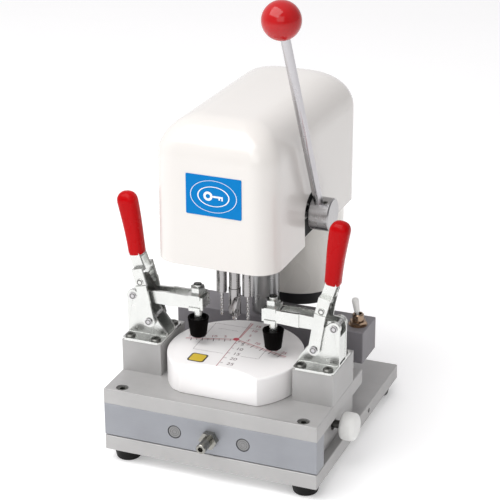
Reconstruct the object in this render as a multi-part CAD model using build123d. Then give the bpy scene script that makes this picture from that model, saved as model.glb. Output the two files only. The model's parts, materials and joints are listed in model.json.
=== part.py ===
from build123d import *
import os
from math import atan2, cos, degrees, hypot, pi, sin

# Key duplicating machine, in millimetres.
# Drawing frame: x = 0 at the middle of the base plate, y = 0 at its front face,
# z = 0 at its underside.  save() moves every piece into the part's own frame.

# ---- driving dimensions -------------------------------------------------------
BASE_W, BASE_D, BASE_T = 220.0, 249.0, 15.1
FOOT_H, FOOT_R, FOOT_INSET = 13.0, 14.8, 17.0

BAR_Y, BAR_Z0 = 20.0, 16.1             # front bar: depth and underside
PLATE_Z0, PLATE_Z1 = 50.4, 66.1        # carriage top plate
PLATE_D, ROD_END = 131.0, 150.0
GUIDE_X, GUIDE_Z, GUIDE_R = 35.5, 33.0, 6.5
BODY_Y0, BODY_Y1, BODY_X, BODY_Z1 = 24.0, 130.0, 101.0, 49.2
BUSH_LEN, REAR_BUSH_Y = 16.0, 82.0

END_W, END_Y0, END_Y1, END_Z1 = 41.6, 44.0, 103.0, 99.1
TABLE_Y, TABLE_R, TABLE_Z1, TABLE_FRONT = 70.6, 67.0, 95.4, 18.7

BLOCK_Y0, BLOCK_Y1, BLOCK_Z0, BLOCK_Z1 = 158.0, 199.0, 57.0, 91.0
HEAD_X = -10.0                          # centre plane of column, spindles and head
COLUMN_Y, COLUMN_R, COLUMN_TOP = 176.0, 14.0, 262.0
RACK_BACK = 3.5                         # back of the rack, in front of the column's axis

COVER_X, COVER_HALF, COVER_Y0, COVER_Y1 = -12.8, 62.2, 44.0, 294.0
COVER_Z0, COVER_FRONT_Z1, COVER_REAR_Z1, COVER_T = 188.0, 331.5, 322.5, 2.5

FRAME_Z0, FRAME_Z1, FRAME_T = 189.5, 197.5, 6.0
FRAME_HALF, FRAME_Y0, FRAME_Y1, NOSE_Y0 = 52.0, 100.0, 291.4, 66.0

SPINDLE_Y, SPINDLE_PITCH = 93.0, 13.7
SPINDLE_NOSE_Z = 144.0
BELT_Z = (288.0, 299.0, 310.0)          # belt planes of the left, middle, right spindle

MOTOR_X, MOTOR_Y, MOTOR_R, MOTOR_Z0 = 1.0, 246.0, 45.0, 100.0
MOTOR_BORE, MOTOR_PULLEY_R, SPINDLE_PULLEY_R = 22.5, 16.0, 7.4

FEED_Y, FEED_Z = 152.0, 216.0           # feed shaft axis, parallel to X
GEAR_MODULE, GEAR_TEETH = 1.6, 20
HUB_X0, HUB_X1, HUB_R = 48.5, 70.0, 16.5
LEVER_X, LEVER_R, LEVER_LEN, LEVER_LEAN = 57.0, 4.6, 249.0, 25.9
BALL_R = 18.2

CLAMP_Y = 70.0                          # centre plane of both toggle clamps
KNOB_Y, KNOB_R, KNOB_X0, KNOB_X1 = 72.0, 14.0, 109.5, 126.0
STOP_X, STOP_FRONT = 1.5, -23.0
SWITCH_X, SWITCH_Y, SWITCH_LEAN = 89.6, 176.0, -10.0

# Part frame: middle of the whole object's box, standing on z = 0.
SCREW_HEAD = 2.6
LEFT_REACH, RIGHT_REACH = -122.567, KNOB_X1
ORIGIN = Pos(-(LEFT_REACH + RIGHT_REACH) / 2, -(STOP_FRONT + COVER_Y1 + SCREW_HEAD) / 2, FOOT_H)


# ---- helpers ------------------------------------------------------------------
def save(name, *solids):
    shape = solids[0] if len(solids) == 1 else Compound(list(solids))
    export_step(ORIGIN * shape, "parts/" + name + ".step")


def block(x0, x1, y0, y1, z0, z1):
    return Pos((x0 + x1) / 2, (y0 + y1) / 2, (z0 + z1) / 2) * Box(x1 - x0, y1 - y0, z1 - z0)


def round_z(x, y, r, z0, z1):
    return Pos(x, y, (z0 + z1) / 2) * Cylinder(r, z1 - z0)


def round_y(x, z, r, y0, y1):
    return Pos(x, (y0 + y1) / 2, z) * Rot(90, 0, 0) * Cylinder(r, y1 - y0)


def round_x(y, z, r, x0, x1):
    return Pos((x0 + x1) / 2, y, z) * Rot(0, 90, 0) * Cylinder(r, x1 - x0)


def hex_z(x, y, flats, z0, z1):
    return Pos(x, y, z0) * extrude(RegularPolygon(flats / 2, 6, major_radius=False), z1 - z0)


def plate_xz(points, y0, y1):
    """A flat plate with its outline in the XZ plane, from y0 to y1."""
    outline = make_face(Polyline(*[(x, y0, z) for x, z in points], close=True))
    return extrude(outline, y1 - y0, dir=(0, 1, 0))


def plate_yz(points, x0, x1):
    outline = make_face(Polyline(*[(x0, y, z) for y, z in points], close=True))
    return extrude(outline, x1 - x0, dir=(1, 0, 0))


def socket_screw(x, y, seat, r_head, h_head, r_shank, length):
    """A socket head screw standing on z = seat, with its shank going down."""
    head = round_z(x, y, r_head, seat, seat + h_head)
    head -= hex_z(x, y, r_head, seat + h_head * 0.4, seat + h_head)
    return head + round_z(x, y, r_shank, seat - length, seat)


# ---- base ---------------------------------------------------------------------
FOOT_SPOTS = [(sx * (BASE_W / 2 - FOOT_INSET), y)
              for sx in (-1, 1) for y in (FOOT_INSET, BASE_D - FOOT_INSET)]
BED_SCREWS = [(-80, 50), (80, 50), (-80, 112), (80, 112), (-60, 180), (60, 180)]


def pan_screw(x, y, seat, r_shank, length):
    """A low pan head screw with a cross recess, standing on z = seat."""
    head = chamfer(round_z(x, y, 5.1, seat, seat + 2.2).faces().sort_by(Axis.Z)[-1].edges(), 0.9)
    for turn in (30, 120):
        head -= Pos(x, y, seat + 1.8) * Rot(0, 0, turn) * Box(5.0, 1.3, 1.6)
    return head + round_z(x, y, r_shank, seat - length, seat)


def base():
    plate = block(-BASE_W / 2, BASE_W / 2, 0, BASE_D, 0, BASE_T)
    plate = chamfer(plate.edges().filter_by(Axis.Z), 0.8)
    plate = chamfer(plate.faces().sort_by(Axis.Z)[-1].edges(), 0.6)
    for x, y in BED_SCREWS:
        plate -= round_z(x, y, 3.0, 0, BASE_T) + round_z(x, y, 5.2, 0, 7)
    for x, y in FOOT_SPOTS:
        plate -= round_z(x, y, 2.5, 0, 9)
    plate -= round_x(155, BASE_T / 2, 2.6, BASE_W / 2 - 14, BASE_W / 2)
    save("base_plate", plate)

    feet, screws = [], []
    for x, y in FOOT_SPOTS:
        foot = Pos(x, y, -FOOT_H / 2) * Cone(FOOT_R - 3.0, FOOT_R, FOOT_H)
        foot = fillet(foot.faces().sort_by(Axis.Z)[0].edges(), 2.0)
        foot -= round_z(x, y, 5.0, -FOOT_H, -6.0) + round_z(x, y, 2.5, -FOOT_H, 0)
        feet.append(foot)
        head = round_z(x, y, 4.4, -9.0, -6.0) - round_z(x, y, 1.8, -9.0, -7.4)
        screws.append(head + round_z(x, y, 2.5, -6.0, 8.5))
    for x, y in BED_SCREWS:
        head = round_z(x, y, 5.0, 1.0, 7.0) - hex_z(x, y, 5.0, 1.0, 4.0)
        screws.append(head + round_z(x, y, 3.0, 7.0, 30.0))
    save("rubber_feet", *feet)
    save("base_screws", *screws)


def slide_body():
    body = block(-BODY_X, BODY_X, BODY_Y0, BODY_Y1, BASE_T, BODY_Z1)
    body = chamfer(body.edges().filter_by(Axis.Z), 1.0)
    bushes = []
    for x in (-GUIDE_X, GUIDE_X):
        body -= round_y(x, GUIDE_Z, GUIDE_R + 0.8, BODY_Y0, BODY_Y1)
        body -= round_y(x, GUIDE_Z, 9.0, REAR_BUSH_Y, BODY_Y1)
        body -= round_y(x, GUIDE_Z, 9.0, BODY_Y0, BODY_Y0 + BUSH_LEN)
        for y in (BODY_Y0, REAR_BUSH_Y):
            bushes.append(round_y(x, GUIDE_Z, 9.0, y, y + BUSH_LEN)
                          - round_y(x, GUIDE_Z, GUIDE_R + 0.05, y, y + BUSH_LEN))
    body -= round_x(KNOB_Y, GUIDE_Z, 4.05, GUIDE_X, BODY_X)
    body -= round_x(KNOB_Y, GUIDE_Z, 7.0, BODY_X - 4, BODY_X)
    for x, y in BED_SCREWS[:4]:
        body -= round_z(x, y, 3.0, BASE_T, 30.0)
    save("slide_body", body)
    save("guide_bushes", *bushes)


def column_block():
    riser = block(-80, 80, 162, 197, BASE_T, BLOCK_Z0)
    for x, y in BED_SCREWS[4:]:
        riser -= round_z(x, y, 3.0, BASE_T, 30.0)
    save("riser_block", riser)

    top = block(-BODY_X, BODY_X, BLOCK_Y0, BLOCK_Y1, BLOCK_Z0, BLOCK_Z1)
    top = chamfer(top.edges().filter_by(Axis.Z), 0.8)
    top = chamfer(top.faces().sort_by(Axis.Z)[-1].edges(), 0.6)
    top -= round_z(HEAD_X, COLUMN_Y, 10.0, 63, BLOCK_Z1)
    top -= round_z(SWITCH_X, SWITCH_Y, 5.8, 74, BLOCK_Z1)
    top -= round_y(-80, 74, 5.0, BLOCK_Y1 - 12, BLOCK_Y1)
    save("column_block", top)

    slot_z0, slot_z1 = 180.0, 236.0
    column = round_z(HEAD_X, COLUMN_Y, COLUMN_R, BLOCK_Z1, COLUMN_TOP)
    column = chamfer(column.faces().sort_by(Axis.Z)[-1].edges(), 1.2)
    column += round_z(HEAD_X, COLUMN_Y, 10.0, 63, BLOCK_Z1)
    column -= block(HEAD_X - 4.5, HEAD_X + 4.5, COLUMN_Y - 15, COLUMN_Y - RACK_BACK, slot_z0, slot_z1)
    save("column", column)
    save("rack", rack(slot_z0, slot_z1))

    gland = round_y(-80, 74, 5.0, BLOCK_Y1 - 10, BLOCK_Y1)
    gland += Pos(-80, BLOCK_Y1, 74) * Rot(-90, 0, 0) * extrude(
        RegularPolygon(7.5, 6, major_radius=False), 6)
    dome = round_y(-80, 74, 6.6, BLOCK_Y1 + 6, BLOCK_Y1 + 15)
    dome = fillet(dome.faces().sort_by(Axis.Y)[-1].edges(), 2.0)
    gland = gland + dome - round_y(-80, 74, 3.6, BLOCK_Y1 - 10, BLOCK_Y1 + 15)
    save("cable_gland", gland)


def rack(z0, z1):
    """Rack let into the front of the column, its teeth facing the pinion."""
    pitch = pi * GEAR_MODULE
    pitch_y = FEED_Y + GEAR_MODULE * GEAR_TEETH / 2
    root_y, tip_y = pitch_y + 1.6, pitch_y - 1.3
    points = [(COLUMN_Y - RACK_BACK, z0), (root_y, z0)]
    first = int((z0 + 2 - FEED_Z) / pitch - 0.5)
    last = int((z1 - 2 - FEED_Z) / pitch - 0.5)
    for n in range(first, last + 1):
        z = FEED_Z + (n + 0.5) * pitch
        points += [(root_y, z - 1.5), (tip_y, z - 0.4), (tip_y, z + 0.4), (root_y, z + 1.5)]
    points += [(root_y, z1), (COLUMN_Y - RACK_BACK, z1)]
    return plate_yz(points, HEAD_X - 4.5, HEAD_X + 4.5)


def switch():
    bushing = round_z(SWITCH_X, SWITCH_Y, 5.8, 76, 103.0)
    bushing = chamfer(bushing.faces().sort_by(Axis.Z)[-1].edges(), 0.8)
    bushing -= round_z(SWITCH_X, SWITCH_Y, 3.8, 92, 103.0)
    washer = round_z(SWITCH_X, SWITCH_Y, 9.5, BLOCK_Z1, BLOCK_Z1 + 1)
    washer -= round_z(SWITCH_X, SWITCH_Y, 5.8, BLOCK_Z1, BLOCK_Z1 + 1)
    nut = hex_z(SWITCH_X, SWITCH_Y, 15.0, BLOCK_Z1 + 1, BLOCK_Z1 + 4.5)
    nut -= round_z(SWITCH_X, SWITCH_Y, 5.8, BLOCK_Z1 + 1, BLOCK_Z1 + 4.5)
    save("switch_bushing", bushing, washer, nut)

    stem = Pos(0, 0, 2.5) * Cylinder(1.6, 7)
    cap = Pos(0, 0, 14) * Cone(2.6, 3.6, 16)
    cap = fillet(cap.faces().sort_by(Axis.Z)[-1].edges(), 3.0)
    tilted = Pos(SWITCH_X, SWITCH_Y, 98.0) * Rot(0, SWITCH_LEAN, 0) * (stem + cap)
    save("switch_lever", tilted)


# ---- carriage -----------------------------------------------------------------
PLATE_SCREWS = [(-93.6, 8.4), (93.6, 8.4)]


def carriage():
    half = BASE_W / 2
    bar = block(-half, half, 0, BAR_Y, BAR_Z0, PLATE_Z0)
    bar = chamfer(bar.faces().sort_by(Axis.Y)[0].edges(), 0.5)
    rods = []
    for x in (-GUIDE_X, GUIDE_X):
        bar -= round_y(x, GUIDE_Z, GUIDE_R, 0, BAR_Y)
        rod = round_y(x, GUIDE_Z, GUIDE_R, 0.2, ROD_END)
        rods.append(chamfer(rod.faces().sort_by(Axis.Y)[0].edges(), 0.6))
    bar -= round_y(STOP_X, GUIDE_Z, 5.0, 0, BAR_Y)

    plate = block(-half, half, 0, PLATE_D, PLATE_Z0, PLATE_Z1)
    plate = chamfer(plate.faces().sort_by(Axis.Z)[-1].edges(), 0.6)
    screws = []
    for x, y in PLATE_SCREWS:
        plate -= round_z(x, y, 6.0, PLATE_Z1 - 6.5, PLATE_Z1) + round_z(x, y, 3.0, PLATE_Z0, PLATE_Z1)
        bar -= round_z(x, y, 3.0, 36, PLATE_Z0)
        screws.append(socket_screw(x, y, PLATE_Z1 - 6.5, 5.0, 5.4, 3.0, 22.0))
    save("front_bar", bar)
    save("guide_rods", *rods)
    save("top_plate", plate)

    for side, x, y in [(side, x, y) for side in (-1, 1) for x, y in flange_holes(side)]:
        screws.append(pan_screw(x, y, END_Z1 + FLANGE_T, 2.5, 13.0))
    save("carriage_screws", *screws)

    for side, name in ((-1, "left"), (1, "right")):
        x0, x1 = sorted((side * half, side * (half - END_W)))
        end = block(x0, x1, END_Y0, END_Y1, PLATE_Z1, END_Z1)
        end = chamfer(end.edges().filter_by(Axis.Z), 0.6)
        for x, y in flange_holes(side):
            end -= round_z(x, y, 2.5, END_Z1 - 12, END_Z1)
        save("end_block_" + name, end)

    disc = round_z(0, TABLE_Y, TABLE_R, PLATE_Z1, TABLE_Z1)
    disc -= block(-half, half, -20, TABLE_FRONT, PLATE_Z1, TABLE_Z1)
    disc = fillet(disc.edges().filter_by(Axis.Z), 5.0)
    disc = fillet(disc.faces().sort_by(Axis.Z)[-1].edges(), 1.0)
    save("key_table", disc)

    stop = round_y(STOP_X, GUIDE_Z, 5.0, STOP_FRONT, 22.6)
    stop = chamfer(stop.faces().sort_by(Axis.Y)[0].edges(), 0.8)
    stop -= Pos(STOP_X, STOP_FRONT, GUIDE_Z) * Rot(-90, 0, 0) * extrude(
        RegularPolygon(2.5, 6, major_radius=False), 6)
    nut = Pos(STOP_X, -6.5, GUIDE_Z) * Rot(-90, 0, 0) * extrude(
        RegularPolygon(8.0, 6, major_radius=False), 6.5)
    save("stop_screw", stop, nut - round_y(STOP_X, GUIDE_Z, 5.0, -6.5, 0))


def lock_knob():
    knob = round_x(KNOB_Y, GUIDE_Z, KNOB_R, KNOB_X0, KNOB_X1)
    knob = fillet(knob.edges().filter_by(GeomType.CIRCLE), 3.0)
    knob -= round_x(KNOB_Y, GUIDE_Z, 4.0, KNOB_X0, KNOB_X0 + 7)
    save("lock_knob", knob)
    stud = round_x(KNOB_Y, GUIDE_Z, 4.0, 46.0, KNOB_X0 + 7)
    save("lock_stud", chamfer(stud.faces().sort_by(Axis.X)[0].edges(), 1.0))


# ---- toggle clamps ------------------------------------------------------------
# Each clamp is drawn in the plane y = CLAMP_Y with u = distance from the middle
# of its end block towards the table and w = height above the end block.
PIVOT_ARM = (-15.0, 41.0)
PIVOT_HANDLE = (3.5, 18.0)
PIVOT_LINK = (-5.5, 58.0)
CLAMP_TIP_U = 50.0
HANDLE_CLOSED = {"left": 0.0, "right": 3.0}
EAR_IN, EAR_OUT = 8.0, 10.5             # distances of the sheet faces from CLAMP_Y
FLANGE_T = 2.5


def clamp_x(u):
    return -(BASE_W / 2 - END_W / 2) + u


def flange_holes(side):
    return [(side * -clamp_x(u), CLAMP_Y + v) for u in (-13.6, 13.6) for v in (-20.8, 20.8)]


def clamp_plate(points, y0, y1, both=True):
    """A sheet between offsets y0 and y1 from the clamp's plane, on both sides of it."""
    world = [(clamp_x(u), END_Z1 + w) for u, w in points]
    near = plate_xz(world, CLAMP_Y - y1, CLAMP_Y - y0)
    far = plate_xz(world, CLAMP_Y + y0, CLAMP_Y + y1)
    return near, far


def clamp_pin(pivot, r, reach):
    return round_y(clamp_x(pivot[0]), END_Z1 + pivot[1], r, CLAMP_Y - reach, CLAMP_Y + reach)


def lobe(pivot, r, y0, y1):
    x, z = clamp_x(pivot[0]), END_Z1 + pivot[1]
    return (round_y(x, z, r, CLAMP_Y - y1, CLAMP_Y - y0), round_y(x, z, r, CLAMP_Y + y0, CLAMP_Y + y1))


def strip(a, b, half):
    """Corners of a straight bar of the given half width from point a to point b."""
    length = hypot(b[0] - a[0], b[1] - a[1])
    nx, ny = -(b[1] - a[1]) / length * half, (b[0] - a[0]) / length * half
    return [(a[0] + nx, a[1] + ny), (b[0] + nx, b[1] + ny), (b[0] - nx, b[1] - ny), (a[0] - nx, a[1] - ny)]


def clamp_flange():
    foot = block(clamp_x(-20.5), clamp_x(20.5), CLAMP_Y - 27, CLAMP_Y + 27, END_Z1, END_Z1 + FLANGE_T)
    foot = chamfer(foot.edges().filter_by(Axis.Z), 3.0)
    ear = [(-20.5, 0.5), (20.5, 0.5), (20.5, 6), (-8.5, 44), (-21, 41), (-21, 4)]
    near, far = clamp_plate(ear, EAR_IN, EAR_OUT)
    top_near, top_far = lobe(PIVOT_ARM, 6.5, EAR_IN, EAR_OUT)
    web = block(clamp_x(-20.5), clamp_x(-18.0), CLAMP_Y - EAR_IN, CLAMP_Y + EAR_IN, END_Z1 + 5, END_Z1 + 32)
    shape = foot + near + far + top_near + top_far + web
    for pivot in (PIVOT_ARM, PIVOT_HANDLE):
        shape -= clamp_pin(pivot, 2.5, 20)
    for x, y in flange_holes(-1):
        shape -= round_z(x, y, 2.6, END_Z1, END_Z1 + FLANGE_T)
    return shape


def clamp_pins():
    arm_pin = clamp_pin(PIVOT_ARM, 2.5, EAR_OUT) + lobe(PIVOT_ARM, 3.6, EAR_OUT, 11.6)[0]
    arm_pin += lobe(PIVOT_ARM, 3.6, EAR_OUT, 11.6)[1]
    handle_pin = clamp_pin(PIVOT_HANDLE, 2.5, 15.2) + lobe(PIVOT_HANDLE, 3.6, 15.2, 16.4)[0]
    handle_pin += lobe(PIVOT_HANDLE, 3.6, 15.2, 16.4)[1]
    return arm_pin, handle_pin


def clamp_arm():
    """Two side bars, closer together at the pivot, that carry the spindle at the far end."""
    root = [(-15, 35.5), (23, 35.5), (23, 49.5), (-15, 47)]
    reach = [(21, 35.5), (40, 36.5), (58.5, 36.5), (58.5, 49.5), (21, 49.5)]
    near, far = clamp_plate(root, 5.2, 7.7)
    shape = near + far
    for part in lobe(PIVOT_ARM, 6.0, 5.2, 7.7) + clamp_plate(reach, 6.4, 8.9):
        shape += part
    x = clamp_x(CLAMP_TIP_U)
    bridge = block(clamp_x(40), clamp_x(58.5), CLAMP_Y - 6.5, CLAMP_Y + 6.5, END_Z1 + 37, END_Z1 + 49)
    shape += bridge - round_z(x, CLAMP_Y, 4.0, END_Z1 + 30, END_Z1 + 55)
    return shape - clamp_pin(PIVOT_ARM, 2.55, 20)


def saddle(x, seat, lip):
    """A flanged washer across the arm; its lips fold over both bars towards lip."""
    low, high = min(seat, lip), max(seat, lip)
    step = 1.6 if lip < seat else -1.6
    shape = block(x - 5.8, x + 5.8, CLAMP_Y - 10.2, CLAMP_Y + 10.2, min(seat, seat + step), max(seat, seat + step))
    for side in (-1, 1):
        y0, y1 = sorted((CLAMP_Y + side * 8.95, CLAMP_Y + side * 10.2))
        shape += block(x - 5.8, x + 5.8, y0, y1, low, high)
    return shape


def clamp_bolt():
    x, z = clamp_x(CLAMP_TIP_U), END_Z1
    shank = round_z(x, CLAMP_Y, 4.0, z + 10, z + 60.5)
    shank = chamfer(shank.faces().sort_by(Axis.Z)[-1].edges(), 0.7)
    upper = hex_z(x, CLAMP_Y, 13.0, z + 51.1, z + 57.5) + saddle(x, z + 49.5, z + 46.8)
    lower = saddle(x, z + 36.5, z + 38.5)
    return shank + upper + lower


def rubber_tip():
    x = clamp_x(CLAMP_TIP_U)
    tip = Pos(x, CLAMP_Y, END_Z1 + 15.0) * Cone(8.2, 10.6, 20)
    tip = fillet(tip.faces().sort_by(Axis.Z)[0].edges(), 1.2)
    return tip - round_z(x, CLAMP_Y, 4.0, END_Z1 + 10, END_Z1 + 25)


GRIP_FOOT, GRIP_END = (-13.5, 83.0), (-24.5, 146.0)


def clamp_handle():
    """Two side bars, pivoted outside the ears, that step inwards twice below the grip."""
    step, knee = (-4.2, 54.5), (-8.6, 70.0)
    outer = strip(PIVOT_HANDLE, step, 5.6)
    middle = strip((-3.8, 53.0), knee, 5.7)
    jog = strip((-8.0, 68.0), (-8.9, 71.2), 5.7)
    upper = strip((-8.0, 68.0), GRIP_FOOT, 5.5)
    spine = strip(GRIP_FOOT, (-23.0, 137.5), 5.5)
    shape = None
    for part in (clamp_plate(outer, 12.0, 14.5) + lobe(PIVOT_HANDLE, 6.0, 12.0, 14.5)
                 + clamp_plate(strip((-3.8, 53.0), step, 5.7), 10.7, 14.5)
                 + clamp_plate(middle, 10.7, 13.2) + clamp_plate(jog, 5.0, 13.2)
                 + clamp_plate(upper, 5.0, 7.5) + lobe(GRIP_FOOT, 5.5, 0, 7.5)):
        shape = part if shape is None else shape + part
    shape += clamp_plate(spine, 0, 6.0)[0] + clamp_plate(spine, 0, 6.0)[1]
    shape += clamp_pin(PIVOT_LINK, 2.5, 14.2)
    return shape - clamp_pin(PIVOT_HANDLE, 2.55, 20)


def grip():
    """Dipped sleeve over the upper part of the handle, closed and rounded at the end."""
    lean = degrees(atan2(GRIP_FOOT[0] - GRIP_END[0], GRIP_END[1] - GRIP_FOOT[1]))
    length = hypot(GRIP_END[0] - GRIP_FOOT[0], GRIP_END[1] - GRIP_FOOT[1])
    body = loft([RectangleRounded(15.6, 17.0, 5.0), Pos(0, 0, length) * RectangleRounded(20.0, 17.0, 7.0)])
    body = fillet(body.faces().sort_by(Axis.Z)[-1].edges(), 5.0)
    place = Pos(clamp_x(GRIP_FOOT[0]), CLAMP_Y, END_Z1 + GRIP_FOOT[1]) * Rot(0, -lean, 0)
    return place * body - clamp_handle()


def clamp_link():
    end = (4.0, 44.0)
    bar = clamp_plate(strip(PIVOT_LINK, end, 4.0), 0, 2.5)
    shape = bar[0] + bar[1]
    for part in lobe(PIVOT_LINK, 4.6, 0, 2.5) + lobe(end, 4.0, 0, 2.5):
        shape += part
    return shape - clamp_pin(PIVOT_LINK, 2.55, 20)


def closed_by(angle, shape):
    """The handle with its grip and link, turned further in about the handle's pivot."""
    centre = Pos(clamp_x(PIVOT_HANDLE[0]), CLAMP_Y, END_Z1 + PIVOT_HANDLE[1])
    return centre * Rot(0, angle, 0) * centre.inverse() * shape


def clamps():
    pins = []
    for side, name in ((-1, "left"), (1, "right")):
        def place(shape):
            return shape if side < 0 else mirror(shape, about=Plane.YZ)

        def handle_place(shape):
            return place(closed_by(HANDLE_CLOSED[name], shape))

        save("clamp_flange_" + name, place(clamp_flange()))
        pins += [place(pin) for pin in clamp_pins()]
        save("clamp_arm_" + name, place(clamp_arm()))
        save("clamp_bolt_" + name, place(clamp_bolt()))
        save("rubber_tip_" + name, place(rubber_tip()))
        save("clamp_handle_" + name, handle_place(clamp_handle()))
        save("grip_" + name, handle_place(grip()))
        save("clamp_link_" + name, handle_place(clamp_link()))
    save("clamp_pins", *pins)


# ---- head ---------------------------------------------------------------------
def rounded_box(inset):
    """The cover's form: three rounded outlines that cut each other, shrunk by inset."""
    half = COVER_HALF - inset
    y0, y1 = COVER_Y0 + inset, COVER_Y1 - inset
    front, rear = COVER_FRONT_Z1 - inset, COVER_REAR_Z1 - inset
    floor = COVER_Z0 - (5 if inset else 0)
    side = plate_yz([(y0, floor), (y1, floor), (y1, rear), (y0, front)], COVER_X - half, COVER_X + half)
    across = side.edges().filter_by(Axis.X).group_by(Axis.Z)
    tops = across[-1] + across[-2]
    side = fillet(tops, 38.0 - inset)
    plan = Pos(COVER_X, (y0 + y1) / 2, floor) * extrude(Rectangle(2 * half, y1 - y0), 200)
    uprights = plan.edges().filter_by(Axis.Z)
    plan = fillet(uprights, 24.0 - inset)
    span = Pos(COVER_X, (y0 + y1) / 2, floor) * Box(2 * half, y1 - y0, front - floor,
                                                   align=(Align.CENTER, Align.CENTER, Align.MIN))
    crown = span.edges().filter_by(Axis.Y).group_by(Axis.Z)[-1]
    span = fillet(crown, 36.0 - inset)
    return side & plan & span


def head_cover():
    cover = rounded_box(0) - rounded_box(COVER_T)
    x0, x1 = COVER_X + COVER_HALF - 8, COVER_X + COVER_HALF + 2
    cover -= round_x(FEED_Y, FEED_Z, 22.0, x0, x1)
    cover -= block(x0, x1, FEED_Y - 22, FEED_Y + 22, COVER_Z0 - 1, FEED_Z)
    screws = []
    for x in (HEAD_X - 30, HEAD_X, HEAD_X + 30):
        z = (FRAME_Z0 + FRAME_Z1) / 2
        cover -= round_y(x, z, 2.0, COVER_Y1 - 4, COVER_Y1)
        screw = round_y(x, z, 2.0, COVER_Y1 - 10, COVER_Y1)
        head = round_y(x, z, 3.8, COVER_Y1, COVER_Y1 + SCREW_HEAD)
        head -= round_y(x, z, 1.5, COVER_Y1 + 1.2, COVER_Y1 + SCREW_HEAD)
        screws.append(screw + head)
    save("head_cover", cover)
    save("cover_screws", *screws)
    save("label_plate", block(HEAD_X - 28, HEAD_X + 28, COVER_Y0 - 0.8, COVER_Y0, 243, 283))


def head_frame():
    half, x0 = FRAME_HALF, HEAD_X - FRAME_HALF
    frame = block(x0, HEAD_X + half, FRAME_Y0, FRAME_Y1, FRAME_Z0, FRAME_Z1)
    frame = fillet(frame.edges().filter_by(Axis.Z), 22.0)
    nose = block(HEAD_X - 28, HEAD_X + 28, NOSE_Y0, FRAME_Y0 + 10, FRAME_Z0, FRAME_Z1)
    frame += chamfer(nose.edges().filter_by(Axis.Z), 4.0)
    for x in (x0, HEAD_X + half - FRAME_T):
        frame += block(x, x + FRAME_T, FRAME_Y0 + 24, FRAME_Y1 - 24, FRAME_Z0, 244)
    frame += block(x0, HEAD_X + half, 160, 192, 238, 254)
    frame += round_z(HEAD_X, COLUMN_Y, 22.0, 238, 256)
    frame += block(HEAD_X - 24, HEAD_X + 24, 81, 105, FRAME_Z1, 276)
    frame -= round_z(HEAD_X, COLUMN_Y, 17.0, FRAME_Z0, 256)
    for n in (-1, 0, 1):
        x = HEAD_X + n * SPINDLE_PITCH
        frame -= round_z(x, SPINDLE_Y, 6.0, FRAME_Z0, 202) + round_z(x, SPINDLE_Y, 6.5, 202, 276)
    frame -= round_x(FEED_Y, FEED_Z, 8.0, x0, HEAD_X + half)
    frame -= round_z(MOTOR_X, MOTOR_Y, 14.0, FRAME_Z0, FRAME_Z1)
    for x in (HEAD_X - 30, HEAD_X, HEAD_X + 30):
        frame -= round_y(x, (FRAME_Z0 + FRAME_Z1) / 2, 2.0, COVER_Y1 - 12, COVER_Y1)
    save("head_frame", frame)

    bushes = []
    for z0, z1 in ((FRAME_Z0, FRAME_Z1), (238, 256)):
        ring = round_z(HEAD_X, COLUMN_Y, 17.0, z0, z1)
        bushes.append(ring - round_z(HEAD_X, COLUMN_Y, COLUMN_R + 0.05, z0, z1))
    for x in (x0, HEAD_X + half - FRAME_T):
        bushes.append(round_x(FEED_Y, FEED_Z, 8.0, x, x + FRAME_T)
                      - round_x(FEED_Y, FEED_Z, 6.05, x, x + FRAME_T))
    save("head_bushes", *bushes)
    bearings = []
    for n in (-1, 0, 1):
        x = HEAD_X + n * SPINDLE_PITCH
        for z in (203, 270):
            bearings.append(round_z(x, SPINDLE_Y, 6.5, z, z + 5) - round_z(x, SPINDLE_Y, 3.05, z, z + 5))
    save("spindle_bearings", *bearings)


def motor():
    shell = round_z(MOTOR_X, MOTOR_Y, MOTOR_R, MOTOR_Z0, FRAME_Z0)
    shell = fillet(shell.faces().sort_by(Axis.Z)[0].edges(), 1.5)
    shell -= round_z(MOTOR_X, MOTOR_Y, MOTOR_R - 2.5, MOTOR_Z0, MOTOR_Z0 + 12)
    shell -= round_z(MOTOR_X, MOTOR_Y, MOTOR_BORE, MOTOR_Z0, FRAME_Z0 - 12)
    shell -= round_z(MOTOR_X, MOTOR_Y, 14.0, MOTOR_Z0, FRAME_Z0)
    save("motor_housing", shell)

    cap_z0 = MOTOR_Z0 - 14
    cap = round_z(MOTOR_X, MOTOR_Y, MOTOR_R - 2.5, cap_z0, MOTOR_Z0 + 4)
    cap = fillet(cap.faces().sort_by(Axis.Z)[0].edges(), 4.0)
    cap -= round_z(MOTOR_X, MOTOR_Y, MOTOR_R - 6.0, cap_z0 + 3, MOTOR_Z0 + 4)
    for n in range(12):
        cap -= Pos(MOTOR_X, MOTOR_Y, cap_z0) * Rot(0, 0, 30 * n) * Pos(24, 0, 1.5) * Box(18, 4, 6)
    save("motor_end_cap", cap)

    rotor = round_z(MOTOR_X, MOTOR_Y, MOTOR_BORE - 1, 114, 172) + round_z(MOTOR_X, MOTOR_Y, 4.0, 96, 318)
    rotor += round_z(MOTOR_X, MOTOR_Y, 9.0, BELT_Z[0] - 7, BELT_Z[2] + 5)
    for z in BELT_Z:
        rotor += belt_wheel(MOTOR_X, MOTOR_Y, MOTOR_PULLEY_R, z)
    save("motor_rotor", rotor)


def belt_wheel(x, y, r, z):
    """A flanged wheel that a 5 mm wide flat belt runs on."""
    wheel = round_z(x, y, r, z - 3.0, z + 3.0)
    for low in (z - 4.0, z + 3.0):
        wheel += round_z(x, y, r + 1.8, low, low + 1.0)
    return wheel


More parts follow.
